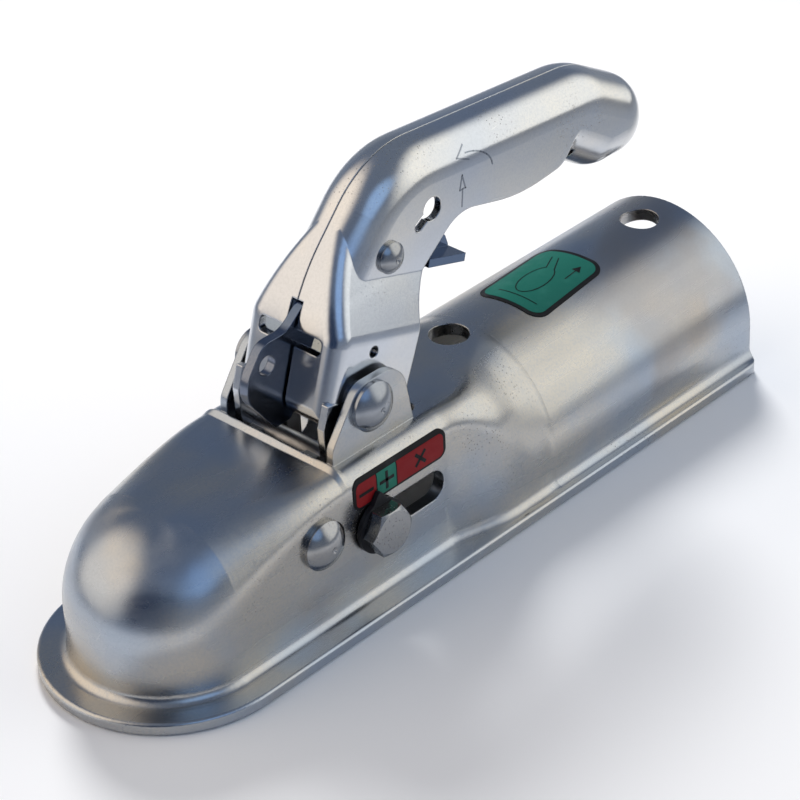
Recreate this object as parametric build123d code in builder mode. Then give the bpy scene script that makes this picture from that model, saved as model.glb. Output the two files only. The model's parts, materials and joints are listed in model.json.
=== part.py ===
from build123d import *
import os
from math import asin, atan2, cos, degrees, hypot, radians, sin, tan

# Trailer coupling head for a tow ball. Sizes are in millimetres.
# The origin is the centre of the ball, +X runs back along the drawbar and +Z is up.
# The wear scale and the bolt head are on the -Y side.

# Ball, drawbar tube and pressed sheet
ball_d = 50.0
ball_gap = 0.4
tube_d = 60.0
sheet = 4.0

# Housing outline
ball_height = 19.2
body_end_x = 223.5
rear_flange = 4.5
flange_bend_r = 3.0
flange_edge_r = 1.0
flange_corner_r = 5.0
crown_flat = 0.4
top_edge_r = 6.5
round_front_run = 20.0
nose_end_x = 42.6
joggle_start_x = 84.0
joggle_end_x = 108.0
crown_start_x = 88.0
crown_end_x = 128.0
loft_steps = 8
dome_steps = 12
dome_core_r = 0.4
dome_flat = 1.2

# Opening, lip and ears
lip_x = 44.4
lip_rise = 1.5
lip_fade = 1.8
opening_end_x = 84.0
opening_corner_r = 3.0
ear_t = 2.6
ear_gap = 1.8
ear_front_x = 45.4
ear_rear_x = 79.6
ear_shoulder_x = 0.8
ear_shoulder_z = 5.2
ear_shoulder_r = 6.0
ear_peak_x = -4.7
ear_peak_z = 8.0
ear_peak_r = 7.0
ear_rear_lean = 4.3
ear_back_z = 7.8
ear_back_r = 9.0

# Drawbar bolt holes
hole_d = 12.5
hole_front_x = 119.2
hole_distance = 90.0

# Handle pivot, measured from the crest of the housing
pivot_x = 62.0
pivot_above_crest = 12.8
pivot_d = 10.0
pivot_head_d = 15.4
pivot_head_h = 5.0
pivot_stub = 1.0

# Handle shells
shell = 2.5
arm_half = 18.2
grip_half = 12.0
arm_edge_r = 5.5
grip_edge_r = 11.4
seam_gap = 0.3
neck_length = 15.3
neck_tilt = 17.0
neck_bend_r = 9.0
neck_from_pivot_x = 9.9
neck_from_pivot_z = 15.7
neck_tip = 6.1
arm_foot_x = -14.8
arm_foot_z = -3.5
arm_bend_x = -3.4
arm_bend_z = 31.9
arm_bend_r = 60.0
grip_start_x = 25.5
grip_rise = 62.4
grip_start_r = 34.0
grip_slope = 4.7
grip_reach = 140.5
grip_end_r = 30.0
grip_drop_x = 114.0
grip_tip_z = 40.3
grip_tip_r = 14.0
bulb_end_x = 138.5
bulb_bottom_z = 19.5
bulb_end_r = 12.5
bulb_start_x = 116.0
bulb_start_z = 20.0
bulb_start_r = 14.0
palm_end_x = 97.5
palm_end_z = 32.1
palm_mid_x = 77.0
palm_mid_z = 30.1
palm_mid_r = 60.0
throat_x = 50.5
throat_z = 36.8
throat_r = 14.0
throat_low_x = 30.5
throat_low_z = 21.3
throat_low_r = 30.0
arm_rear_x = 14.9
arm_rear_z = -16.0
keyhole_x = 39.5
keyhole_z = 42.0
keyhole_d = 7.4
keyhole_tail = 6.6
keyhole_tail_w = 3.4
keyhole_angle = 30.0
small_hole_x = 6.9
small_hole_z = 12.4
small_hole_d = 3.6
cross_slot_z = 17.8
cross_slot_half = 12.2
cross_slot_h = 4.8
pawl_slot_top_z = 27.8
pawl_slot_gap = 0.7

# Drive pin, in the lower arms of the handle
drive_x = -8.0
drive_z = -19.6
drive_d = 8.0
drive_lobe_r = 6.2
drive_gap = 0.6
drive_end = 0.6

# Safety pawl, its rivet, sleeve and torsion spring
pawl_x = 21.4
pawl_z = 34.4
pawl_t = 3.0
pawl_pin_d = 6.0
pawl_head_d = 9.6
pawl_head_h = 3.4
pawl_outline = [
    ((-26.0, -9.0), 6.0),
    ((-31.9, -13.6), 8.0),
    ((-41.5, -13.6), 6.0),
    ((-48.4, -22.6), 10.0),
    ((-48.6, -29.0), 8.0),
    ((-38.7, -42.1), 1.5),
    ((-32.4, -42.0), 2.5),
    ((-20.4, -18.6), 10.0),
    ((4.6, -10.1), 8.0),
    ((24.6, -18.6), 4.0),
    ((35.6, -16.4), 1.2),
    ((34.1, -11.6), 2.0),
    ((19.6, -3.1), 8.0),
    ((0.6, 8.9), 7.0),
    ((-8.4, 1.9), 8.0),
]
padlock_x = -18.8
padlock_z = 13.8
padlock_d = 6.2
trigger_start_x = 20.1
trigger_start_z = -12.8
trigger_end_x = 35.4
trigger_end_z = -17.4
trigger_half = 8.0
trigger_t = 2.6
spacer_d = 10.0
torsion_wire = 1.3
torsion_turns = 3.0
torsion_pitch = 1.5
torsion_leg = 9.0
torsion_gap = 0.5

# Ball jaw on the front rivet
jaw_x = 33.2
jaw_z = 13.1
jaw_half = 24.0
jaw_hub_r = 8.0
jaw_pin_d = 10.0
jaw_head_d = 15.2
jaw_head_h = 5.0
jaw_ball_gap = 0.3
jaw_foot_z = -15.5
jaw_foot_front = 14.2
jaw_foot_rear = 5.0
jaw_wall = 9.0
jaw_edge_r = 3.0

# Slider, indicator bolt and side slots
bolt_x = 55.1
bolt_z = 8.3
bolt_d = 10.0
slot_end_x = 83.5
slot_start_x = 49.8
slot_gap = 0.1
slider_front_x = 46.4
slider_rear_x = 64.0
slider_bottom_z = -2.0
slider_top_z = 16.4
slider_wing_z = 14.4
slider_half = 23.0
slider_nose_half = 16.0
slider_nose_h = 10.0
cheek_inner = 8.5
cheek_t = 5.0
cheek_above_pin = 5.0
spring_seat_d = 12.0
spring_seat_h = 4.0
head_af = 14.0
head_face_d = 13.2
head_chamfer = 30.0
nut_af = 15.0
head_h = 5.0
nut_h = 6.0
bolt_stub = 0.8
pointer_t = 1.5
pointer_r = 8.6
pointer_tip = 12.2
pointer_tail = 11.2
pointer_tip_r = 1.0
bolt_washer_d = 18.0
bolt_washer_t = 1.6

# Spring and its bracket ahead of the tube
bracket_x = 107.0
bracket_t = 3.0
bracket_bottom_z = -8.0
bracket_top_z = 21.0
bracket_top_half = 15.0
spring_r = 8.6
spring_wire = 2.6
spring_turns = 6.0
guide_d = 12.0
guide_length = 14.0
guide_shank_d = 8.0
guide_head_h = 2.5

# Labels
label_t = 0.2
scale_start_x = 46.2
scale_end_x = 84.6
scale_bottom_z = 16.5
scale_top_z = 26.4
scale_skin_angle = 50.0
scale_corner_r = 3.0
green_x = 161.5
green_y = 0.3
green_length = 36.0
green_width = 24.6
green_turn = 5.0
green_corner_r = 5.0

# Domed heads of the rivets
rim_share = 0.3
dimple_r = 1.1
dimple_depth = 0.5

# Fits between pieces
run_fit = 0.05
press_fit = 0.02
move_gap = 0.3

# Values that follow from the sizes above
nose_r = ball_d / 2 + ball_gap + sheet
rim_quarter = nose_r * radians(90)
crest_z = nose_r
base_z = -ball_height
pipe_r = tube_d / 2 + sheet
pipe_axis_z = crest_z - pipe_r
flange_half = pipe_r + rear_flange
pivot_z = crest_z + pivot_above_crest
slot_h = bolt_d + 2 * slot_gap
opening_half = arm_half + ear_gap
ear_out = opening_half + ear_t
arm_in = arm_half - shell
pawl_px = pivot_x + pawl_x
pawl_pz = pivot_z + pawl_z
drive_px = pivot_x + drive_x
drive_pz = pivot_z + drive_z

os.makedirs("parts", exist_ok=True)


def keep(piece, name):
    piece.label = name
    export_step(piece, f"parts/{name}.step")


def side_plane(y):
    # Sketch x is +X and sketch y is +Z; extruding goes towards -Y.
    return Plane.XZ.offset(-y)


def cross_plane(x):
    # Sketch x is +Y and sketch y is +Z; extruding goes towards +X.
    return Plane(origin=(x, 0, 0), x_dir=(0, 1, 0), z_dir=(1, 0, 0))


def smooth(x, start, end):
    # Rises from 0 to 1 between start and end, level at both ends.
    s = min(max((x - start) / (end - start), 0), 1)
    return s * s * (3 - 2 * s)


def cap_points(base, rim_r, height):
    # Points half way up and at the dimple of a domed cap that stands on a rim at the given base.
    ball = (rim_r**2 + height**2) / (2 * height)
    middle = base + height - ball
    angles = [atan2(rim_r, ball - height) / 2, asin(dimple_r / ball)]
    return [(middle + ball * cos(angle), ball * sin(angle)) for angle in angles]


def wall_half(x):
    return nose_r + (pipe_r - nose_r) * smooth(x, joggle_start_x, joggle_end_x)


def nose_edge_r(run):
    # Radius of the top edge, by the run along the rim from the foremost point: a ball in front, then tighter.
    dome = nose_r - dome_flat
    return dome + (top_edge_r - dome) * smooth(run, round_front_run, rim_quarter + nose_end_x)


def top_r(x):
    pipe = pipe_r - crown_flat
    if x <= nose_end_x:
        return nose_edge_r(rim_quarter + x)
    return top_edge_r + (pipe - top_edge_r) * smooth(x, crown_start_x, crown_end_x)


def sheet_corners(half, corner_r, rise):
    # Corners and radii of one closed outline of the pressed sheet: flange, wall, top and back inside.
    low = base_z + sheet
    top = crest_z + rise
    outer_r = corner_r + rise
    right = [
        ((half, top), outer_r),
        ((half, low), flange_bend_r),
        ((flange_half, low), flange_edge_r),
        ((flange_half, base_z), flange_edge_r),
        ((half - sheet, base_z), flange_bend_r + sheet),
        ((half - sheet, top - sheet), max(outer_r - sheet, crown_flat)),
    ]
    left = [((-y, z), r) for (y, z), r in reversed(right)]
    return right + left


def dome_corners(turn):
    # The same outline on one side of the ball axis, closed beside the axis.
    right = sheet_corners(nose_r, nose_edge_r(nose_r * radians(abs(turn - 180))), 0)[:6]
    return [((dome_core_r, crest_z), 0), *right, ((dome_core_r, crest_z - sheet), 0)]


def radial_plane(turn):
    # Upright plane through the ball axis, turned from +X.
    angle = radians(turn)
    return Plane(origin=(0, 0, 0), x_dir=(cos(angle), sin(angle), 0), z_dir=(sin(angle), -cos(angle), 0))


def rounded(corners, close=True):
    # Draws straight runs with a round corner of its own radius at each point.
    points = [point for point, radius in corners]
    radii = [radius for point, radius in corners]
    return FilletPolyline(points, radius=radii if close else radii[1:-1], close=close)


# Coupling body: one pressed sheet from the ball dome back to the half pipe
def sheet_span(stations):
    with BuildPart() as span:
        for x, half, corner_r, rise in stations:
            with BuildSketch(cross_plane(x)):
                with BuildLine():
                    rounded(sheet_corners(half, corner_r, rise))
                make_face()
        loft(ruled=len(stations) == 2)
    return span.part


def span_stations(start, end):
    places = [start + (end - start) * i / loft_steps for i in range(loft_steps + 1)]
    return [(x, wall_half(x), top_r(x), 0) for x in places]


def leg_corners(side):
    # One side of the half pipe below its axis: wall, flange and back inside.
    wall, *foot, inside = sheet_corners(pipe_r, pipe_r, 0)[:6]
    start = ((pipe_r, pipe_axis_z), 0)
    end = ((pipe_r - sheet, pipe_axis_z), 0)
    return [((side * y, z), r) for (y, z), r in [start, *foot, end]]


ear_corners = [
    ((ear_front_x, crest_z - sheet), 0),
    ((ear_front_x + ear_shoulder_x, crest_z + ear_shoulder_z), ear_shoulder_r),
    ((pivot_x + ear_peak_x, pivot_z + ear_peak_z), ear_peak_r),
    ((ear_rear_x - ear_rear_lean, pivot_z + ear_back_z), ear_back_r),
    ((ear_rear_x, crest_z - sheet), 0),
]

with BuildPart() as coupling_body:
    add(sheet_span(span_stations(0, nose_end_x)))
    # Ball dome in front, whose sections turn round the ball axis
    for i in range(dome_steps + 1):
        turn = 270 - 180 * i / dome_steps
        with BuildSketch(radial_plane(turn)):
            with BuildLine():
                rounded(dome_corners(turn))
            make_face()
    loft()
    with BuildSketch(Plane.XY.offset(crest_z - sheet)):
        Circle((dome_core_r + dome_flat) / 2)
    extrude(amount=sheet)
    # Squared housing back to the pipe
    add(sheet_span([(nose_end_x, nose_r, top_edge_r, 0), (lip_x, nose_r, top_edge_r, lip_rise)]))
    add(sheet_span([(lip_x, nose_r, top_edge_r, lip_rise), (lip_x + lip_fade, nose_r, top_edge_r, 0)]))
    add(sheet_span([(lip_x + lip_fade, nose_r, top_edge_r, 0), (joggle_start_x, nose_r, top_edge_r, 0)]))
    add(sheet_span(span_stations(joggle_start_x, crown_end_x)))
    # Half pipe that sits on the drawbar tube
    with BuildSketch(cross_plane(crown_end_x)):
        with BuildLine():
            CenterArc((0, pipe_axis_z), pipe_r, 0, 180)
            CenterArc((0, pipe_axis_z), pipe_r - sheet, 0, 180)
            rounded(leg_corners(1), close=False)
            rounded(leg_corners(-1), close=False)
        make_face()
    extrude(amount=body_end_x - crown_end_x)
    # Opening for the handle
    with BuildSketch(Plane.XY.offset(crest_z - 2 * sheet)):
        with Locations(((lip_x + opening_end_x) / 2, 0)):
            RectangleRounded(opening_end_x - lip_x, 2 * opening_half, opening_corner_r)
    extrude(amount=4 * sheet, mode=Mode.SUBTRACT)
    # Ears bent up from the sides of the opening
    for inner_y in (-opening_half, ear_out):
        with BuildSketch(side_plane(inner_y)):
            with BuildLine():
                rounded(ear_corners)
            make_face()
            with Locations((pivot_x, pivot_z)):
                Circle(pivot_d / 2 + press_fit, mode=Mode.SUBTRACT)
        extrude(amount=ear_t)
    # Side slots and the holes of the front rivet
    with BuildSketch(side_plane(0)):
        with Locations(((slot_start_x + slot_end_x) / 2, bolt_z)):
            SlotOverall(slot_end_x - slot_start_x, slot_h)
        with Locations((jaw_x, jaw_z)):
            Circle(jaw_pin_d / 2 + press_fit)
    extrude(amount=flange_half, both=True, mode=Mode.SUBTRACT)
    # Drawbar bolt holes
    with BuildSketch(Plane.XY.offset(pipe_axis_z)):
        with Locations((hole_front_x, 0), (hole_front_x + hole_distance, 0)):
            Circle(hole_d / 2)
    extrude(amount=2 * pipe_r, mode=Mode.SUBTRACT)
    # Rounded rear corners of the flange
    with BuildSketch(Plane.XY.offset(base_z - sheet)):
        for side in (1, -1):
            with Locations((body_end_x, side * flange_half)):
                Rectangle(2 * flange_corner_r, 2 * flange_corner_r)
            with Locations((body_end_x - flange_corner_r, side * (flange_half - flange_corner_r))):
                Circle(flange_corner_r, mode=Mode.SUBTRACT)
    extrude(amount=flange_bend_r + 2 * sheet, mode=Mode.SUBTRACT)
keep(coupling_body.part, "coupling_body")


# Handle: two pressed halves that meet on the middle seam
def from_pivot(x, z):
    return pivot_x + x, pivot_z + z


def slope_z(x):
    # Height of the straight top of the grip above the pivot.
    return grip_rise - tan(radians(grip_slope)) * (x - grip_start_x)


top_corners = [
    (from_pivot(arm_foot_x, arm_foot_z), 0),
    (from_pivot(arm_bend_x, arm_bend_z), arm_bend_r),
    (from_pivot(grip_start_x, grip_rise), grip_start_r),
    (from_pivot(grip_drop_x, slope_z(grip_drop_x)), grip_end_r),
    (from_pivot(grip_reach, grip_tip_z), grip_tip_r),
    (from_pivot(bulb_end_x, bulb_bottom_z), bulb_end_r),
    (from_pivot(bulb_start_x, bulb_start_z), bulb_start_r),
    (from_pivot(palm_end_x, palm_end_z), 0),
]
under_corners = [
    (from_pivot(palm_mid_x, palm_mid_z), palm_mid_r),
    (from_pivot(throat_x, throat_z), throat_r),
    (from_pivot(throat_low_x, throat_low_z), throat_low_r),
    (from_pivot(arm_rear_x, arm_rear_z), 0),
]


def inset_corners(corners, depth):
    # Moves every run of the outline to its right by the depth; round corners keep their centres.
    points = [Vector(*point, 0) for point, radius in corners]
    ways = [(b - a).normalized() for a, b in zip(points, points[1:])]
    rights = [Vector(way.Y, -way.X, 0) for way in ways]
    moved = []
    for i, (point, radius) in enumerate(corners):
        before = rights[max(i - 1, 0)]
        after = rights[min(i, len(rights) - 1)]
        place = points[i] + (before + after) * (depth / (1 + before.dot(after)))
        moved.append(((place.X, place.Y), max(radius - depth, 0)))
    return moved


def arm_width_corners(inset):
    # Half width of the arm seen along the neck line: wide at the pivot, then tapering into the grip.
    far = 2 * grip_reach
    taper = neck_length * (arm_half - neck_tip) / (arm_half - grip_half)
    return [
        ((-far, 0), 0),
        ((-far, arm_half - inset), 0),
        ((0, arm_half - inset), neck_bend_r),
        ((taper, neck_tip - inset), 0),
        ((taper, 0), 0),
    ]


tilt = radians(neck_tilt)
neck_x, neck_z = from_pivot(neck_from_pivot_x, neck_from_pivot_z)
neck_up = (sin(tilt), 0, cos(tilt))
neck_back = (cos(tilt), 0, -sin(tilt))
neck_plane = Plane(origin=(neck_x, 0, neck_z), x_dir=neck_up, z_dir=neck_back)


def chain_edges(form, corners):
    # Edges of the form that lie over the outline when they are dropped onto the middle plane.
    with BuildLine(side_plane(0)) as chain:
        rounded(corners, close=False)
    outline = chain.wire()
    picked = []
    for edge in form.edges():
        middle = edge.center()
        if middle.Y < -seam_gap and outline.distance_to(Vector(middle.X, 0, middle.Z)) < press_fit:
            picked.append(edge)
    return picked


def handle_form(side_corners, top_chain, inset):
    # One half of the handle on the -Y side: a narrow rounded grip joined to a wide arm.
    with BuildPart() as grip:
        with BuildSketch(side_plane(0)):
            with BuildLine():
                rounded(side_corners)
            make_face()
        extrude(amount=grip_half - inset)
        fillet(chain_edges(grip, top_chain), grip_edge_r - inset)
    with BuildPart() as arm:
        with BuildSketch(side_plane(0)):
            with BuildLine():
                rounded(side_corners)
            make_face()
        extrude(amount=2 * arm_half)
        with BuildSketch(neck_plane):
            with BuildLine():
                rounded(arm_width_corners(inset))
            make_face()
        extrude(amount=2 * grip_reach, both=True, mode=Mode.INTERSECT)
        fillet(chain_edges(arm, top_chain), arm_edge_r - inset)
        add(grip.part)
    return arm.part


def between(a, b, share):
    return a[0] + (b[0] - a[0]) * share, a[1] + (b[1] - a[1]) * share


def from_pawl(x, z):
    return pawl_px + x, pawl_pz + z


outer_form = handle_form(top_corners + under_corners, top_corners, 0)
inner_top = inset_corners(top_corners, shell)
inner_foot = between(inner_top[1][0], inner_top[0][0], 3)
cavity_corners = [
    (inner_foot, 0),
    *inner_top[1:],
    (from_pivot(palm_end_x - shell, bulb_start_z), 0),
    (from_pivot(throat_x, arm_rear_z), 0),
    ((pivot_x + throat_x, inner_foot[1]), 0),
]
cavity = handle_form(cavity_corners, inner_top, shell)
foot_point = top_corners[0][0]
rear_point = under_corners[-1][0]
arm_corners = [
    (between(foot_point, top_corners[1][0], 0.2), 0),
    (foot_point, 0),
    ((drive_px - drive_lobe_r, drive_pz - drive_lobe_r), drive_lobe_r),
    ((drive_px + drive_lobe_r, drive_pz - drive_lobe_r), drive_lobe_r),
    (rear_point, 0),
    (between(rear_point, under_corners[-2][0], 0.3), 0),
]

tail_x = keyhole_tail * cos(radians(keyhole_angle))
tail_z = keyhole_tail * sin(radians(keyhole_angle))

with BuildPart() as handle_left_shell:
    add(outer_form)
    add(cavity, mode=Mode.SUBTRACT)
    # Lower arm that carries the drive pin
    with BuildSketch(side_plane(-arm_in)):
        with BuildLine():
            rounded(arm_corners)
        make_face()
    extrude(amount=shell)
    # Half of the gap along the seam
    with BuildSketch(side_plane(0)):
        with Locations((pivot_x, pivot_z)):
            Circle(2 * grip_reach)
    extrude(amount=seam_gap / 2, mode=Mode.SUBTRACT)
    # Holes through the side
    with BuildSketch(side_plane(0)):
        with Locations((pivot_x, pivot_z)):
            Circle(pivot_d / 2 + run_fit)
        with Locations((drive_px, drive_pz)):
            Circle(drive_d / 2 + press_fit)
        with Locations((pawl_px, pawl_pz)):
            Circle(pawl_pin_d / 2 + press_fit)
        with Locations(from_pivot(small_hole_x, small_hole_z)):
            Circle(small_hole_d / 2)
        with Locations(from_pivot(keyhole_x, keyhole_z)):
            Circle(keyhole_d / 2)
        with Locations(from_pivot(keyhole_x - tail_x / 2, keyhole_z - tail_z / 2)):
            SlotCenterToCenter(keyhole_tail, keyhole_tail_w, rotation=keyhole_angle)
    extrude(amount=2 * arm_half, mode=Mode.SUBTRACT)
    # Slot of the pawl and the cross slot, both in the front wall only
    with BuildSketch(cross_plane(pivot_x + arm_foot_x - shell)):
        with Locations((0, pivot_z + pawl_slot_top_z)):
            Rectangle(pawl_t + 2 * pawl_slot_gap, grip_rise, align=(Align.CENTER, Align.MAX))
        with Locations((0, pivot_z + cross_slot_z)):
            RectangleRounded(2 * cross_slot_half, cross_slot_h, cross_slot_h / 3)
    extrude(amount=pawl_x, mode=Mode.SUBTRACT)
keep(handle_left_shell.part, "handle_left_shell")

with BuildPart() as handle_right_shell:
    mirror(handle_left_shell.part, about=Plane.XZ)
keep(handle_right_shell.part, "handle_right_shell")


# Rivets and pins along Y
def axial_plane(x, z):
    # Sketch x runs out towards -Y and sketch y is the radius.
    return Plane(origin=(x, 0, z), x_dir=(0, -1, 0), z_dir=(-1, 0, 0))


def domed_pin(x, z, start, seat, head_d, head_h):
    # Pin on the -Y side: starts at (distance from the middle, radius) and ends in a domed head on the seat.
    rim = seat + rim_share * head_h
    middle, tip = cap_points(rim, head_d / 2, seat + head_h - rim)
    begin, shank_r = start
    with BuildPart() as pin:
        with BuildSketch(axial_plane(x, z)):
            with BuildLine():
                Polyline((begin, 0), start, (seat, shank_r), (seat, head_d / 2), (rim, head_d / 2))
                ThreePointArc((rim, head_d / 2), middle, tip)
                Polyline(tip, (tip[0] - dimple_depth, 0), (begin, 0))
            make_face()
        revolve(axis=Axis((x, 0, z), (0, -1, 0)))
    return pin.part


with BuildPart() as pivot_rivets:
    pivot_start = (arm_in - pivot_stub, pivot_d / 2)
    add(domed_pin(pivot_x, pivot_z, pivot_start, ear_out, pivot_head_d, pivot_head_h))
    mirror(about=Plane.XZ)
keep(pivot_rivets.part, "pivot_rivets")

with BuildPart() as jaw_rivet:
    add(domed_pin(jaw_x, jaw_z, (0, jaw_pin_d / 2), nose_r, jaw_head_d, jaw_head_h))
    mirror(about=Plane.XZ)
keep(jaw_rivet.part, "jaw_rivet")

with BuildPart() as pawl_rivet:
    add(domed_pin(pawl_px, pawl_pz, (0, pawl_pin_d / 2), grip_half, pawl_head_d, pawl_head_h))
    mirror(about=Plane.XZ)
keep(pawl_rivet.part, "pawl_rivet")

with BuildPart() as drive_pin:
    with BuildSketch(side_plane(0)):
        with Locations((drive_px, drive_pz)):
            Circle(drive_d / 2)
    extrude(amount=arm_half + drive_end, both=True)
    chamfer(drive_pin.edges().filter_by(GeomType.CIRCLE), drive_end)
keep(drive_pin.part, "drive_pin")

# Safety pawl with its trigger
with BuildPart() as safety_pawl:
    with BuildSketch(side_plane(0)):
        with BuildLine():
            rounded([(from_pawl(*point), radius) for point, radius in pawl_outline])
        make_face()
        with Locations((pawl_px, pawl_pz)):
            Circle(pawl_pin_d / 2 + run_fit, mode=Mode.SUBTRACT)
        with Locations(from_pivot(padlock_x, padlock_z)):
            Circle(padlock_d / 2, mode=Mode.SUBTRACT)
    extrude(amount=pawl_t / 2, both=True)
    trigger_run_x = trigger_end_x - trigger_start_x
    trigger_run_z = trigger_end_z - trigger_start_z
    trigger_turn = degrees(atan2(trigger_run_z, trigger_run_x))
    with BuildSketch(side_plane(0)):
        with Locations(from_pawl(trigger_start_x + trigger_run_x / 2, trigger_start_z + trigger_run_z / 2)):
            Rectangle(hypot(trigger_run_x, trigger_run_z), trigger_t, rotation=trigger_turn)
    extrude(amount=trigger_half, both=True)
keep(safety_pawl.part, "safety_pawl")

with BuildPart() as pawl_spacer:
    spacer_end = grip_half - shell - move_gap
    with BuildSketch(side_plane(-pawl_t / 2 - move_gap)):
        with Locations((pawl_px, pawl_pz)):
            Circle(spacer_d / 2)
            Circle(pawl_pin_d / 2 + run_fit, mode=Mode.SUBTRACT)
    extrude(amount=spacer_end - pawl_t / 2 - move_gap)
keep(pawl_spacer.part, "pawl_spacer")

with BuildPart() as pawl_spring:
    coil_r = (pawl_pin_d + torsion_wire) / 2 + torsion_gap
    coil_h = torsion_turns * torsion_pitch
    coil_start = (pawl_px, (pawl_t / 2 + grip_half - shell - coil_h) / 2, pawl_pz)
    with BuildLine() as coil_path:
        coil = Helix(torsion_pitch, coil_h, coil_r, center=coil_start, direction=(0, 1, 0))
        Line(coil @ 0, coil @ 0 - (coil % 0) * torsion_leg)
        Line(coil @ 1, coil @ 1 + (coil % 1) * torsion_leg)
    path = coil_path.wire()
    with BuildSketch(Plane(origin=path @ 0, z_dir=path % 0)):
        Circle(torsion_wire / 2)
    sweep(path=path)
keep(pawl_spring.part, "pawl_spring")

# Ball jaw that hangs on the front rivet
jaw_rear_x = jaw_x + jaw_wall
with BuildPart() as ball_jaw:
    with BuildSketch(side_plane(0)):
        with BuildLine():
            rounded(
                [
                    ((jaw_x - jaw_hub_r, jaw_z), 0),
                    ((jaw_x - jaw_foot_front, jaw_foot_z), 0),
                    ((jaw_x + jaw_foot_rear, jaw_foot_z), jaw_edge_r),
                    ((jaw_rear_x, slider_bottom_z), jaw_edge_r),
                    ((jaw_rear_x, jaw_z), 0),
                ]
            )
        make_face()
        with Locations((jaw_x, jaw_z)):
            Circle(jaw_hub_r)
            Circle(jaw_pin_d / 2 + run_fit, mode=Mode.SUBTRACT)
    extrude(amount=jaw_half, both=True)
    Sphere(ball_d / 2 + jaw_ball_gap, mode=Mode.SUBTRACT)
keep(ball_jaw.part, "ball_jaw")

# Locking slider: wings on the bolt, cheeks round the drive pin, nose behind the jaw
slider_length = slider_rear_x - slider_front_x
cheek_top_z = drive_pz + cheek_above_pin
on_base = (Align.CENTER, Align.MIN)
with BuildPart() as locking_slider:
    with BuildSketch(cross_plane(slider_front_x)):
        with Locations((0, slider_bottom_z)):
            Rectangle(2 * slider_half, slider_wing_z - slider_bottom_z, align=on_base)
            Rectangle(2 * (cheek_inner + cheek_t), slider_top_z - slider_bottom_z, align=on_base)
        with Locations((cheek_inner + cheek_t / 2, slider_top_z), (-cheek_inner - cheek_t / 2, slider_top_z)):
            Rectangle(cheek_t, cheek_top_z - slider_top_z, align=on_base)
    extrude(amount=slider_length)
    with BuildSketch(cross_plane(slider_front_x)):
        with Locations((0, bolt_z)):
            RectangleRounded(2 * slider_nose_half, slider_nose_h, slider_nose_h / 4)
    extrude(amount=jaw_rear_x + move_gap - slider_front_x)
    with BuildSketch(cross_plane(slider_rear_x)):
        with Locations((0, bolt_z)):
            Circle(spring_seat_d / 2)
    extrude(amount=spring_seat_h)
    with BuildSketch(side_plane(0)):
        with Locations((drive_px, drive_pz)):
            Rectangle(drive_d + 2 * drive_gap, 2 * (drive_pz - slider_top_z))
        with Locations((bolt_x, bolt_z)):
            Circle(bolt_d / 2 + press_fit)
    extrude(amount=slider_half, both=True, mode=Mode.SUBTRACT)
keep(locking_slider.part, "locking_slider")

# Indicator bolt through both side slots, with pointer, washer and nut
pointer_y = nose_r + label_t + move_gap
head_y = pointer_y + pointer_t
washer_seat_y = nose_r + move_gap
nut_y = washer_seat_y + bolt_washer_t
with BuildPart() as indicator_bolt:
    with BuildSketch(side_plane(-head_y)):
        with Locations((bolt_x, bolt_z)):
            RegularPolygon(head_af / 2, 6, major_radius=False)
    extrude(amount=head_h)
    with BuildSketch(side_plane(-head_y - head_h)):
        with Locations((bolt_x, bolt_z)):
            Circle(head_face_d / 2)
    extrude(amount=-head_h, taper=head_chamfer - 90, mode=Mode.INTERSECT)
    with BuildSketch(side_plane(nut_y + nut_h + bolt_stub)):
        with Locations((bolt_x, bolt_z)):
            Circle(bolt_d / 2)
    extrude(amount=nut_y + nut_h + bolt_stub + head_y)
keep(indicator_bolt.part, "indicator_bolt")

with BuildPart() as indicator_pointer:
    with BuildSketch(side_plane(-pointer_y)):
        with Locations((bolt_x, bolt_z)):
            Circle(pointer_r)
        with BuildLine():
            rounded(
                [
                    ((bolt_x - pointer_r, bolt_z), 0),
                    ((bolt_x, bolt_z + pointer_tip), pointer_tip_r),
                    ((bolt_x + pointer_r, bolt_z), 0),
                    ((bolt_x, bolt_z - pointer_tail), pointer_tip_r),
                ]
            )
        make_face()
        with Locations((bolt_x, bolt_z)):
            Circle(bolt_d / 2 + press_fit, mode=Mode.SUBTRACT)
    extrude(amount=pointer_t)
keep(indicator_pointer.part, "indicator_pointer")

with BuildPart() as bolt_washer:
    with BuildSketch(side_plane(nut_y)):
        with Locations((bolt_x, bolt_z)):
            Circle(bolt_washer_d / 2)
            Circle(bolt_d / 2 + press_fit, mode=Mode.SUBTRACT)
    extrude(amount=bolt_washer_t)
keep(bolt_washer.part, "bolt_washer")

with BuildPart() as bolt_nut:
    with BuildSketch(side_plane(nut_y + nut_h)):
        with Locations((bolt_x, bolt_z)):
            RegularPolygon(nut_af / 2, 6, major_radius=False)
            Circle(bolt_d / 2 + press_fit, mode=Mode.SUBTRACT)
    extrude(amount=nut_h)
keep(bolt_nut.part, "bolt_nut")

# Spring bracket across the walls, its guide pin and the pressure spring
bracket_half = wall_half(bracket_x) - sheet - run_fit
with BuildPart() as spring_bracket:
    with BuildSketch(cross_plane(bracket_x)):
        with BuildLine():
            Polyline(
                (bracket_half, bracket_bottom_z),
                (bracket_half, bolt_z),
                (bracket_top_half, bracket_top_z),
                (-bracket_top_half, bracket_top_z),
                (-bracket_half, bolt_z),
                (-bracket_half, bracket_bottom_z),
                close=True,
            )
        make_face()
        with Locations((0, bolt_z)):
            Circle(guide_shank_d / 2 + press_fit, mode=Mode.SUBTRACT)
    extrude(amount=bracket_t)
keep(spring_bracket.part, "spring_bracket")

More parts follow.
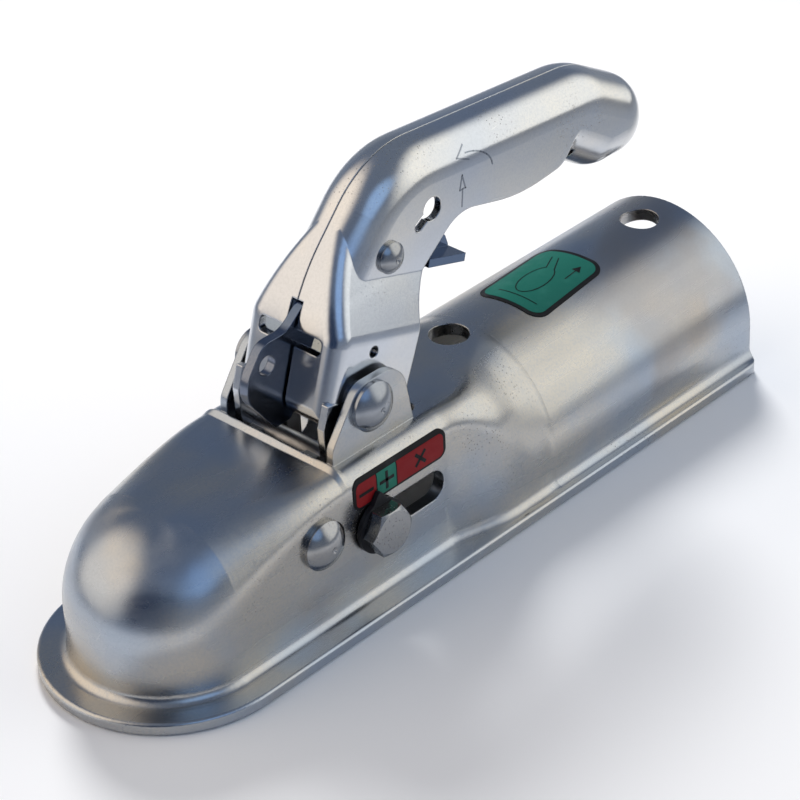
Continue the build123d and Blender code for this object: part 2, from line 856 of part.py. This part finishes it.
with BuildPart() as spring_guide_pin:
    with BuildSketch(cross_plane(bracket_x - guide_length)):
        with Locations((0, bolt_z)):
            Circle(guide_d / 2)
    extrude(amount=guide_length)
    chamfer(spring_guide_pin.edges().sort_by(Axis.X)[0], guide_head_h)
    with BuildSketch(cross_plane(bracket_x)):
        with Locations((0, bolt_z)):
            Circle(guide_shank_d / 2)
    extrude(amount=bracket_t)
    with BuildSketch(cross_plane(bracket_x + bracket_t)):
        with Locations((0, bolt_z)):
            Circle(guide_d / 2)
    extrude(amount=guide_head_h)
keep(spring_guide_pin.part, "spring_guide_pin")

with BuildPart() as pressure_spring:
    spring_start_x = slider_rear_x + spring_wire / 2 + run_fit
    spring_end_x = bracket_x - spring_wire / 2 - run_fit
    spring_length = spring_end_x - spring_start_x
    with BuildLine() as spring_path:
        Helix(
            spring_length / spring_turns,
            spring_length,
            spring_r,
            center=(spring_start_x, 0, bolt_z),
            direction=(1, 0, 0),
        )
    winding = spring_path.wire()
    with BuildSketch(Plane(origin=winding @ 0, z_dir=winding % 0)):
        Circle(spring_wire / 2)
    sweep(path=winding)
keep(pressure_spring.part, "pressure_spring")

# Wear scale: a skin on the -Y wall that runs up over the rounded top edge
edge_y = -(nose_r - top_edge_r)
edge_z = crest_z - top_edge_r


def on_edge(grow, angle):
    turn = radians(angle)
    return edge_y - (top_edge_r + grow) * cos(turn), edge_z + (top_edge_r + grow) * sin(turn)


with BuildPart() as wear_label:
    with BuildSketch(cross_plane(scale_start_x)):
        with BuildLine():
            Line(on_edge(0, 0), (-nose_r, scale_bottom_z))
            Line((-nose_r, scale_bottom_z), (-nose_r - label_t, scale_bottom_z))
            Line((-nose_r - label_t, scale_bottom_z), on_edge(label_t, 0))
            ThreePointArc(*[on_edge(label_t, scale_skin_angle * share) for share in (0, 1 / 2, 1)])
            Line(on_edge(label_t, scale_skin_angle), on_edge(0, scale_skin_angle))
            ThreePointArc(*[on_edge(0, scale_skin_angle * share) for share in (1, 1 / 2, 0)])
        make_face()
    extrude(amount=scale_end_x - scale_start_x)
    with BuildSketch(side_plane(0)):
        with Locations(((scale_start_x + scale_end_x) / 2, (scale_bottom_z + scale_top_z) / 2)):
            RectangleRounded(scale_end_x - scale_start_x, scale_top_z - scale_bottom_z, scale_corner_r)
    extrude(amount=2 * nose_r, mode=Mode.INTERSECT)
keep(wear_label.part, "wear_label")


# Plain green label on the crown of the half pipe
with BuildPart() as instruction_label:
    with BuildSketch(cross_plane(green_x)):
        with Locations((0, pipe_axis_z)):
            Circle(pipe_r + label_t)
            Circle(pipe_r, mode=Mode.SUBTRACT)
    extrude(amount=green_length, both=True)
    with BuildSketch(Plane.XY.offset(pipe_axis_z)):
        with Locations((green_x, green_y)):
            RectangleRounded(green_length, green_width, green_corner_r, rotation=green_turn)
    extrude(amount=2 * pipe_r, mode=Mode.INTERSECT)
keep(instruction_label.part, "instruction_label")
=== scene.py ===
import json
import math

import bmesh
import bpy
from mathutils import Matrix, Vector
from mathutils.bvhtree import BVHTree

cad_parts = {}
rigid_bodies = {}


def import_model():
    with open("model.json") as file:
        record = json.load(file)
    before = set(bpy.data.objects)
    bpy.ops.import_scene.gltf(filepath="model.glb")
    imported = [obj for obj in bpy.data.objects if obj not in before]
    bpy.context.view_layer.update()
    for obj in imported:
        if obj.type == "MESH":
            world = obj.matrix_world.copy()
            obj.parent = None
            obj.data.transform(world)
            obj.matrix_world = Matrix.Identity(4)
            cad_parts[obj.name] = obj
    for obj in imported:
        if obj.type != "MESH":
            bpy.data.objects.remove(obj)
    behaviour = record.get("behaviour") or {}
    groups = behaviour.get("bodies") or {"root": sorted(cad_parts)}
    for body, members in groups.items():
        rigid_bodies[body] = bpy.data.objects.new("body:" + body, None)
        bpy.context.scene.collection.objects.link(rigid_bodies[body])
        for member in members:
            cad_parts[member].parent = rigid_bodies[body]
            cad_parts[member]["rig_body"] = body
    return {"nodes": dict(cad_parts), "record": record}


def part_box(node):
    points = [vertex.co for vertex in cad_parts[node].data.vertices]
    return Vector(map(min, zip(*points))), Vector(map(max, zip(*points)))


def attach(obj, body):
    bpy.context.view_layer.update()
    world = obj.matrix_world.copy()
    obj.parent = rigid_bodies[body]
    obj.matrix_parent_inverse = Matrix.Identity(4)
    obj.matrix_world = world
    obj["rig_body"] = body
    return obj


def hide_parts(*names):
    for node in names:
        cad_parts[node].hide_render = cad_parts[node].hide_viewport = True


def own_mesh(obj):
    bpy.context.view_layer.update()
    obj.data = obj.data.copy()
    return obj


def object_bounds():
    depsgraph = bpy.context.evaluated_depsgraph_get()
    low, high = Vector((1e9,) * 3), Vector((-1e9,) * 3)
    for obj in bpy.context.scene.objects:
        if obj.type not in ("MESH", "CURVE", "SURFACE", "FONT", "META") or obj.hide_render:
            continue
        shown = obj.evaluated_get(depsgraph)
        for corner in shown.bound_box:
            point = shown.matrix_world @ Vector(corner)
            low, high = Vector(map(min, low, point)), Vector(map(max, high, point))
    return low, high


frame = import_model()
nodes = frame["nodes"]
cad_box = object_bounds()

# Camera fitted to the photograph, in the part's own frame
camera_place = Vector((-0.4373, -0.5240, 0.5000))
camera_right = Vector((0.6804, -0.7318, -0.0414))
camera_up = Vector((0.4212, 0.3441, 0.8392))
camera_lens = 134.9
camera_near = 0.01
sensor_width = 36.0

# Floor: white over a turned rectangle round the object, then fading to blue-grey as painted shade of the
# unlit floor round the lamp's pool.
# The rectangle's middle is measured along its own sides, and the fade ends at a multiple of its half size.
floor_size = 4.0
floor_gap = 0.0002
floor_roughness = 0.9
floor_colour = (0.95, 0.95, 0.95, 1)
floor_painted_shade_colour = (0.38, 0.42, 0.48, 1)
floor_turn = math.radians(36.6)
floor_middle = Vector((0.183, -0.015, 0.0))
floor_white_half = Vector((0.258, 0.168, 1.0))
floor_fade = 1.8

# Surround: height and colour of the ramp's two ends, from the horizon up
sky_ramp = [
    (0.05, (0.26, 0.30, 0.37, 1)),
    (0.45, (0.16, 0.20, 0.28, 1)),
]
# Patches of the surround: direction, cosine of the angle where it begins and where it is full, colour.
# In order: warm window at the far front, white window at the near rear, dark side in front, and a small
# blue window on the near side.
windows = [
    ((-0.60, 0.62, 0.48), 0.62, 0.93, (1.40, 1.22, 1.03, 1)),
    ((0.76, -0.52, 0.34), 0.68, 0.94, (1.30, 1.30, 1.26, 1)),
    ((-0.88, -0.40, 0.24), 0.86, 0.96, (0.03, 0.05, 0.10, 1)),
    ((-0.20, -0.74, 0.64), 0.90, 0.985, (0.40, 0.60, 0.95, 1)),
]
lamp_place = Vector((1.40, 1.55, 1.55))
lamp_aim = Vector((0.17, 0.07, 0.0))
lamp_cone = math.radians(30)
lamp_edge = 0.9
lamp_size = 0.40
lamp_power = 240.0

# Noise patterns of the finishes: scale per metre, detail and, where it isn't even, stretch along x, y and z
tint_drift = (22.0, 3.0)
plating_grain = (1400.0, 2.0)
gloss_streaks = (60.0, 4.0, (0.25, 1, 2.5))
scratch_lines = (30.0, 0.0, (0.3, 1.5, 1.2))
scratch_patches = (90.0, 2.0)
speck_patches = (26.0, 3.0)
stain_patches = (11.0, 5.0, (0.7, 1, 1.3))
sheet_waves = (26.0, 2.0)
plating_pores = (900.0, 3.0)
oil_film = (70.0, 4.0)
steel_lumps = (1100.0, 3.0)
rubbed_patches = (120.0, 5.0)
moulded_grain = (1600.0, 2.0)
gloss_patches = (200.0, 3.0)

# Noise value where each pattern begins to show and where it is full
tint_band = (0.35, 0.65)
grain_band = (0.35, 0.75)
streak_band = (0.30, 0.70)
scratch_band = (0.60, 0.68)
speck_band = (0.56, 0.68)
stain_band = (0.58, 0.70)
film_band = (0.35, 0.68)
rub_band = (0.52, 0.75)
gloss_band = (0.30, 0.70)

# Zinc plating: how far each pattern shows, and in which colour
scratch_level = 0.5
grain_share = 0.35
grain_dull = 0.86
scratch_width = 0.0025
scratch_share = 0.35
scratch_colour = (0.82, 0.82, 0.80, 1)
speck_scale = 900.0
speck_size = 0.26
speck_core = 0.6
speck_share = 0.45
speck_dull = 0.25
speck_colour = (0.10, 0.085, 0.07, 1)
stain_twist = 0.8
stain_colour = (0.33, 0.27, 0.22, 1)

# Plastic and film
rub_share = 0.6
gloss_spread = 0.08
plastic_specular = 0.12

# Bumps: strength and height in metres, or the height alone where the finish sets the strength
wave_height = 0.002
lump_height = 0.00006
pore_bump = (0.10, 0.00004)
scratch_bump = (0.35, 0.00003)
moulded_bump = (0.15, 0.00004)

# Radius that the shading gives to sharp edges
edge_samples = 6
sheet_edge = 0.0006
pawl_edge = 0.0004
rivet_edge = 0.0003
steel_edge = 0.0004
plastic_edge = 0.0003

# Cool and warm tint, smoothest and roughest gloss, waviness, stains, edge radius
zinc_looks = {
    "zinc_body": ((0.39, 0.44, 0.51, 1), (0.53, 0.50, 0.45, 1), 0.22, 0.34, 0.06, 0.45, sheet_edge),
    "zinc_handle": ((0.58, 0.61, 0.66, 1), (0.68, 0.66, 0.62, 1), 0.14, 0.22, 0.04, 0.25, sheet_edge),
    "zinc_rivet": ((0.29, 0.32, 0.37, 1), (0.36, 0.36, 0.36, 1), 0.14, 0.24, 0.03, 0.30, rivet_edge),
    "zinc_pawl": ((0.10, 0.14, 0.22, 1), (0.22, 0.24, 0.29, 1), 0.14, 0.24, 0.03, 0.20, pawl_edge),
}
# Clean and oily colour, smoothest and roughest gloss, strength of the lumps
steel_looks = {
    "inner_steel": ((0.40, 0.40, 0.41, 1), (0.22, 0.21, 0.20, 1), 0.28, 0.45, 0.20),
    "jaw_steel": ((0.26, 0.26, 0.27, 1), (0.14, 0.13, 0.12, 1), 0.38, 0.58, 0.50),
    "spring_steel": ((0.24, 0.25, 0.28, 1), (0.12, 0.12, 0.12, 1), 0.25, 0.40, 0.15),
}
# Colour, colour where it is rubbed, roughness
plastic_looks = {
    "black_plastic": ((0.018, 0.018, 0.020, 1), (0.05, 0.05, 0.052, 1), 0.42),
    "scale_film": ((0.012, 0.012, 0.013, 1), (0.04, 0.04, 0.04, 1), 0.38),
    "green_film": ((0.015, 0.125, 0.095, 1), (0.03, 0.16, 0.125, 1), 0.42),
    "red_print": ((0.24, 0.012, 0.014, 1), (0.30, 0.03, 0.03, 1), 0.42),
    "green_print": ((0.02, 0.17, 0.115, 1), (0.05, 0.22, 0.16, 1), 0.42),
    "black_print": ((0.010, 0.010, 0.011, 1), (0.05, 0.05, 0.05, 1), 0.42),
}

# How prints and marks are laid on the solids
print_lift = 0.00006
print_cell = 0.0008
ray_start = 0.01
corner_steps = 6

# Wear scale: each field's share of the length, finish, and the angles of the bars in its sign
scale_fields = [
    ("minus", 0.225, "red_print", (0,)),
    ("plus", 0.215, "green_print", (0, 90)),
    ("cross", 0.535, "red_print", (45, 135)),
]
scale_side_border = 0.0011
scale_top_border = 0.0015
scale_low_border = 0.0007
scale_rule = 0.00045
scale_end_r = 0.0018
scale_inner_r = 0.0001
sign_half = 0.0024
sign_stroke = 0.0011

# Green label, and the lever drawing on it: along and across the label, from its middle
green_length = 0.036
green_width = 0.0246
green_turn = math.radians(5)
green_border = 0.0014
green_corner_r = 0.0038
line_width = 0.00035
lever_middle = (-0.002, 0.0005)
lever_half = (0.0085, 0.0042)
lever_sweep = (20, 340)
lever_steps = 20
lever_arms = [[(0.006, 0.002), (0.0125, 0.0045)], [(0.006, -0.001), (0.0125, 0.002)]]
push_line = [(0.004, -0.0065), (0.0095, -0.0065)]
push_tip = (0.0125, -0.0065)
push_head = 0.0030
base_line = [(-0.0125, -0.0075), (-0.0125, 0.0065)]

# Arrows on the grip: x and z in the part's frame
mark_width = 0.00045
lift_line = [(0.1140, 0.0795), (0.1145, 0.0850)]
lift_head = [(0.1133, 0.0850), (0.1145, 0.0895), (0.1157, 0.0850), (0.1133, 0.0850)]
turn_middle = (0.1150, 0.0870)
turn_half = (0.0125, 0.0085)
turn_sweep = (5, 80)
turn_steps = 10
turn_head = [(0.1172, 0.0975), (0.1132, 0.0952), (0.1178, 0.0932)]


class Graph:
    """Node tree of a material or of the world, with short calls for the nodes that they share."""

    def __init__(self, owner, shader, space):
        owner.use_nodes = True
        self.tree = owner.node_tree
        self.shader = self.tree.nodes[shader]
        self.place = self.add("ShaderNodeTexCoord").outputs[space]

    def add(self, kind, **values):
        node = self.tree.nodes.new(kind)
        for key, value in values.items():
            setattr(node, key, value)
        return node

    def put(self, node, socket, value):
        target = node.inputs[socket]
        if isinstance(value, bpy.types.NodeSocket):
            self.tree.links.new(value, target)
        else:
            target.default_value = value

    def surface(self, **sockets):
        for key, value in sockets.items():
            self.put(self.shader, key.replace("_", " "), value)

    def noise(self, scale, detail, stretch=(1, 1, 1), distortion=0.0):
        mapping = self.add("ShaderNodeMapping")
        self.put(mapping, "Vector", self.place)
        self.put(mapping, "Scale", stretch)
        node = self.add("ShaderNodeTexNoise")
        self.put(node, "Vector", mapping.outputs["Vector"])
        self.put(node, "Scale", scale)
        self.put(node, "Detail", detail)
        self.put(node, "Distortion", distortion)
        return node.outputs["Fac"]

    def band(self, value, low, high, start=0.0, end=1.0):
        node = self.add("ShaderNodeMapRange", interpolation_type="SMOOTHSTEP")
        self.put(node, "Value", value)
        self.put(node, "From Min", low)
        self.put(node, "From Max", high)
        self.put(node, "To Min", start)
        self.put(node, "To Max", end)
        return node.outputs["Result"]

    def math(self, operation, a, b=0.0):
        node = self.add("ShaderNodeMath", operation=operation)
        self.put(node, 0, a)
        self.put(node, 1, b)
        return node.outputs["Value"]

    def mix(self, share, a, b):
        # The colour sockets share their names with others of the node, so they go by number
        node = self.add("ShaderNodeMix", data_type="RGBA")
        self.put(node, 0, share)
        self.put(node, 6, a)
        self.put(node, 7, b)
        return node.outputs[2]

    def bump(self, height, strength, distance, normal):
        node = self.add("ShaderNodeBump")
        self.put(node, "Height", height)
        self.put(node, "Strength", strength)
        self.put(node, "Distance", distance)
        self.put(node, "Normal", normal)
        return node.outputs["Normal"]

    def soft_edges(self, radius):
        node = self.add("ShaderNodeBevel", samples=edge_samples)
        self.put(node, "Radius", radius)
        return node.outputs["Normal"]

    def scratches(self):
        off_line = self.math("SUBTRACT", self.noise(*scratch_lines), scratch_level)
        on_line = self.band(self.math("ABSOLUTE", off_line), 0.0, scratch_width, 1.0, 0.0)
        patches = self.band(self.noise(*scratch_patches), *scratch_band)
        return self.math("MULTIPLY", on_line, patches)

    def specks(self):
        cells = self.add("ShaderNodeTexVoronoi")
        self.put(cells, "Vector", self.place)
        self.put(cells, "Scale", speck_scale)
        dots = self.band(cells.outputs["Distance"], speck_size * speck_core, speck_size, 1.0, 0.0)
        patches = self.band(self.noise(*speck_patches), *speck_band)
        return self.math("MULTIPLY", dots, patches)


def finish_graph(name):
    """New material and its graph, in the part's own frame."""
    material = bpy.data.materials.new(name)
    return material, Graph(material, "Principled BSDF", "Object")


def zinc(name, cool, warm, smooth, rough, wave, stains, edge):
    """Zinc plating: cool and warm tints drift over a slightly wavy sheet with light wear."""
    material, graph = finish_graph(name)
    colour = graph.mix(graph.band(graph.noise(*tint_drift), *tint_band), cool, warm)
    dulled = tuple(grain_dull * part for part in cool[:3]) + (1,)
    grain = graph.band(graph.noise(*plating_grain), *grain_band, 0.0, grain_share)
    colour = graph.mix(grain, colour, dulled)
    scratch = graph.scratches()
    colour = graph.mix(graph.math("MULTIPLY", scratch, scratch_share), colour, scratch_colour)
    dirt = graph.specks()
    colour = graph.mix(graph.math("MULTIPLY", dirt, speck_share), colour, speck_colour)
    stain = graph.noise(*stain_patches, distortion=stain_twist)
    colour = graph.mix(graph.band(stain, *stain_band, 0.0, stains), colour, stain_colour)
    gloss = graph.band(graph.noise(*gloss_streaks), *streak_band, smooth, rough)
    gloss = graph.math("ADD", gloss, graph.math("MULTIPLY", dirt, speck_dull))
    normal = graph.soft_edges(edge)
    normal = graph.bump(graph.noise(*sheet_waves), wave, wave_height, normal)
    normal = graph.bump(graph.noise(*plating_pores), *pore_bump, normal)
    normal = graph.bump(scratch, *scratch_bump, normal)
    graph.surface(Base_Color=colour, Metallic=1.0, Roughness=gloss, Normal=normal)
    return material


def plain_steel(name, clean, oily, smooth, rough, lumps):
    """Uncoated steel inside the head: darker, with an oily film that varies."""
    material, graph = finish_graph(name)
    film = graph.band(graph.noise(*oil_film), *film_band)
    colour = graph.mix(film, clean, oily)
    gloss = graph.band(film, 0, 1, smooth, rough)
    normal = graph.bump(graph.noise(*steel_lumps), lumps, lump_height, graph.soft_edges(steel_edge))
    graph.surface(Base_Color=colour, Metallic=1.0, Roughness=gloss, Normal=normal)
    return material


def plastic(name, colour, worn, roughness):
    """Moulded plastic or printed film with a fine texture and paler rubbed patches."""
    material, graph = finish_graph(name)
    rub = graph.band(graph.noise(*rubbed_patches), *rub_band, 0.0, rub_share)
    tone = graph.mix(rub, colour, worn)
    low_gloss, high_gloss = roughness - gloss_spread, roughness + gloss_spread
    gloss = graph.band(graph.noise(*gloss_patches), *gloss_band, low_gloss, high_gloss)
    normal = graph.bump(graph.noise(*moulded_grain), *moulded_bump, graph.soft_edges(plastic_edge))
    graph.surface(Base_Color=tone, Roughness=gloss, Normal=normal, Specular_IOR_Level=plastic_specular)
    return material


finishes = {name: zinc(name, *look) for name, look in zinc_looks.items()}
finishes.update({name: plain_steel(name, *look) for name, look in steel_looks.items()})
finishes.update({name: plastic(name, *look) for name, look in plastic_looks.items()})

slots = {part["node"]: part["material_slot"] for part in frame["record"]["subparts"]}
for name, node in nodes.items():
    node.data.materials.clear()
    node.data.materials.append(finishes[slots[name]])
# The green label shows its black border round the printed field
nodes["instruction_label"].data.materials[0] = finishes["scale_film"]


def rounded_box(low, high, left_r, right_r):
    """Corner points of a box whose left and right corners have their own radius."""
    corners = [
        (high[0] - right_r, high[1] - right_r, right_r, 0),
        (low[0] + left_r, high[1] - left_r, left_r, 90),
        (low[0] + left_r, low[1] + left_r, left_r, 180),
        (high[0] - right_r, low[1] + right_r, right_r, 270),
    ]
    points = []
    for u, v, radius, start in corners:
        points += arc((u, v), (radius, radius), (start, start + 90), corner_steps)
    return points


def arc(centre, half, sweep, steps):
    """Points on an oval, from one angle to another in degrees."""
    start, end = sweep
    turns = [math.radians(start + (end - start) * step / steps) for step in range(steps + 1)]
    return [(centre[0] + half[0] * math.cos(turn), centre[1] + half[1] * math.sin(turn)) for turn in turns]


def stroke(points, width):
    """A line of that width through the points, as one four-sided piece for each run."""
    runs = []
    for start, end in zip(points, points[1:]):
        along = (Vector(end) - Vector(start)).normalized() * width / 2
        side = Vector((-along.y, along.x))
        first, last = Vector(start) - along, Vector(end) + along
        runs.append([tuple(first - side), tuple(last - side), tuple(last + side), tuple(first + side)])
    return runs


def sign_bars(centre, angles):
    """Bars of a sign through its centre, each at its angle in degrees."""
    bars = []
    for angle in angles:
        way = Vector((math.cos(math.radians(angle)), math.sin(math.radians(angle)))) * sign_half
        bars += stroke([tuple(Vector(centre) - way), tuple(Vector(centre) + way)], sign_stroke)
    return bars


def arrow_head(tip, back, size):
    """Filled triangle at the tip of an arrow that comes from the back point."""
    way = (Vector(tip) - Vector(back)).normalized() * size
    side = Vector((-way.y, way.x)) / 2
    return [[tuple(Vector(tip)), tuple(Vector(tip) - way + side), tuple(Vector(tip) - way - side)]]


def drape(name, carrier, shapes, ray, material, layer=1):
    """Lays flat shapes on a node: they are cut into small cells, which follow its surface along the ray."""
    node = nodes[carrier]
    corners = [vert.co for vert in node.data.vertices]
    surface = BVHTree.FromPolygons(corners, [face.vertices for face in node.data.polygons])
    built = bmesh.new()
    for shape in shapes:
        built.faces.new([built.verts.new((u, v, 0)) for u, v in shape])
    for axis in (0, 1):
        places = [vert.co[axis] for vert in built.verts]
        cut = min(places) + print_cell
        while cut < max(places):
            plane = Vector((0, 0, 0))
            plane[axis] = cut
            geometry = built.verts[:] + built.edges[:] + built.faces[:]
            bmesh.ops.bisect_plane(built, geom=geometry, plane_co=plane, plane_no=plane.normalized())
            cut += print_cell
    for vert in built.verts:
        origin, way = ray(vert.co.x, vert.co.y)
        hit, _, _, _ = surface.ray_cast(origin, way)
        vert.co = hit - way * print_lift * layer
    bmesh.ops.recalc_face_normals(built, faces=built.faces[:])
    mesh = bpy.data.meshes.new(name)
    built.to_mesh(mesh)
    built.free()
    mesh.shade_smooth()
    mesh.materials.append(material)
    piece = bpy.data.objects.new(name, mesh)
    bpy.context.scene.collection.objects.link(piece)
    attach(piece, node["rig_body"])


def from_near_side(x, z):
    """Ray from beside the part, straight across it."""
    return Vector((x, cad_box[0].y - ray_start, z)), Vector((0, 1, 0))


def from_above(x, y):
    """Ray from above the part, straight down."""
    return Vector((x, y, cad_box[1].z + ray_start)), Vector((0, 0, -1))


def wear_scale_print():
    """Red, green and red fields with their signs on the black film beside the pointer."""
    low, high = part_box("wear_label")
    left, right = low.x + scale_side_border, high.x - scale_side_border
    bottom, top = low.z + scale_low_border, high.z - scale_top_border
    black = finishes["black_print"]
    start = left
    for name, share, finish, angles in scale_fields:
        end = start + share * (right - left)
        left_r = scale_end_r if name == "minus" else scale_inner_r
        right_r = scale_end_r if name == "cross" else scale_inner_r
        field = rounded_box((start, bottom), (end, top), left_r, right_r)
        drape(f"wear_field_{name}", "wear_label", [field], from_near_side, finishes[finish])
        sign = sign_bars(((start + end) / 2, (bottom + top) / 2), angles)
        drape(f"wear_sign_{name}", "wear_label", sign, from_near_side, black, 2)
        start = end + scale_rule


def green_label_print():
    """Green field inside the label's black border, with a plain lever and arrow drawn on it."""
    low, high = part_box("instruction_label")
    middle = (low + high) / 2
    turn = Matrix.Rotation(green_turn, 2)

    def ray(u, v):
        place = turn @ Vector((u, v))
        return from_above(middle.x + place.x, middle.y + place.y)

    half_u, half_v = green_length / 2 - green_border, green_width / 2 - green_border
    field = rounded_box((-half_u, -half_v), (half_u, half_v), green_corner_r, green_corner_r)
    drape("green_field", "instruction_label", [field], ray, finishes["green_film"])
    drawing = stroke(arc(lever_middle, lever_half, lever_sweep, lever_steps), line_width)
    for line in lever_arms + [push_line]:
        drawing += stroke(line, line_width)
    drawing += arrow_head(push_tip, push_line[1], push_head)
    drawing += stroke(base_line, line_width)
    drape("green_drawing", "instruction_label", drawing, ray, finishes["black_print"], 2)


def handle_marks():
    """Two plain arrows on the near side of the grip, in the darker rivet zinc as painted shade of the
    stamped marks.
    """
    near = min(("handle_left_shell", "handle_right_shell"), key=lambda name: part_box(name)[0].y)
    turn_line = arc(turn_middle, turn_half, turn_sweep, turn_steps)
    marks = []
    for line in (lift_line, lift_head, turn_line, turn_head):
        marks += stroke(line, mark_width)
    # Painted shade: the arrows take the darker rivet zinc to stand in for the shade of the stamped relief
    drape("handle_arrows", near, marks, from_near_side, finishes["zinc_rivet"])


def working_spring():
    """Copy of the pressure spring with a mesh of its own, in place of the hidden original."""
    node = nodes["pressure_spring"]
    coil = bpy.data.objects.new("working_spring", node.data.copy())
    bpy.context.scene.collection.objects.link(coil)
    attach(coil, node["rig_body"])
    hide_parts("pressure_spring")
    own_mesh(coil)


def studio_floor():
    """Pale floor under the flange: white as far as the photo reaches, blue-grey beyond as painted shade of
    the unlit floor.
    """
    material, graph = finish_graph("floor")
    turned = graph.add("ShaderNodeMapping")
    graph.put(turned, "Vector", graph.place)
    graph.put(turned, "Rotation", (0, 0, -floor_turn))
    graph.put(turned, "Location", -floor_middle)
    scaled = graph.add("ShaderNodeVectorMath", operation="DIVIDE")
    graph.put(scaled, 0, turned.outputs["Vector"])
    graph.put(scaled, 1, floor_white_half)
    parts = graph.add("ShaderNodeSeparateXYZ")
    graph.put(parts, 0, scaled.outputs["Vector"])
    along = graph.math("ABSOLUTE", parts.outputs["X"])
    across = graph.math("ABSOLUTE", parts.outputs["Y"])
    # Painted shade: the floor colour turns blue-grey outside the white rectangle, standing in for the unlit
    # floor
    far = graph.band(graph.math("MAXIMUM", along, across), 1.0, floor_fade)
    graph.surface(Base_Color=graph.mix(far, floor_colour, floor_painted_shade_colour), Roughness=floor_roughness)
    half = floor_size / 2
    level = cad_box[0].z - floor_gap
    corners = [(-half, -half, level), (half, -half, level), (half, half, level), (-half, half, level)]
    mesh = bpy.data.meshes.new("floor")
    mesh.from_pydata(corners, [], [(0, 1, 2, 3)])
    mesh.materials.append(material)
    floor = bpy.data.objects.new("floor", mesh)
    bpy.context.scene.collection.objects.link(floor)


def sky():
    """Soft studio surround: paler at the horizon than overhead, with three windows and one dark side."""
    world = bpy.data.worlds.new("studio")
    graph = Graph(world, "Background", "Generated")
    height = graph.add("ShaderNodeSeparateXYZ")
    graph.put(height, 0, graph.place)
    ramp = graph.add("ShaderNodeValToRGB")
    ramp.color_ramp.interpolation = "EASE"
    for element, (position, tint) in zip(ramp.color_ramp.elements, sky_ramp):
        element.position = position
        element.color = tint
    graph.put(ramp, "Fac", height.outputs["Z"])
    colour = ramp.outputs["Color"]
    for toward, edge, core, tint in windows:
        near = graph.add("ShaderNodeVectorMath", operation="DOT_PRODUCT")
        graph.put(near, 0, graph.place)
        graph.put(near, 1, Vector(toward).normalized())
        colour = graph.mix(graph.band(near.outputs["Value"], edge, core), colour, tint)
    graph.surface(Color=colour)
    bpy.context.scene.world = world


def floor_lamp():
    """Soft lamp on the floor round the object; the metal's gloss shows the windows and not this lamp."""
    data = bpy.data.lights.new("floor_lamp", "SPOT")
    data.spot_size = lamp_cone
    data.spot_blend = lamp_edge
    data.shadow_soft_size = lamp_size
    data.energy = lamp_power
    lamp = bpy.data.objects.new("floor_lamp", data)
    lamp.location = lamp_place
    lamp.rotation_euler = (lamp_aim - lamp_place).to_track_quat("-Z", "Y").to_euler()
    lamp.visible_glossy = False
    bpy.context.scene.collection.objects.link(lamp)


def photo_camera():
    """Camera at the photograph's viewing angle."""
    back = camera_right.cross(camera_up).normalized()
    up = back.cross(camera_right).normalized()
    right = up.cross(back)
    turn = Matrix((right, up, back)).transposed()
    data = bpy.data.cameras.new("photo_camera")
    data.lens = camera_lens
    data.sensor_width = sensor_width
    data.clip_start = camera_near
    camera = bpy.data.objects.new("photo_camera", data)
    camera.matrix_world = Matrix.Translation(camera_place) @ turn.to_4x4()
    bpy.context.scene.collection.objects.link(camera)
    bpy.context.scene.camera = camera


wear_scale_print()
green_label_print()
handle_marks()
working_spring()
studio_floor()
sky()
floor_lamp()
photo_camera()
bpy.context.scene.view_settings.view_transform = "Standard"
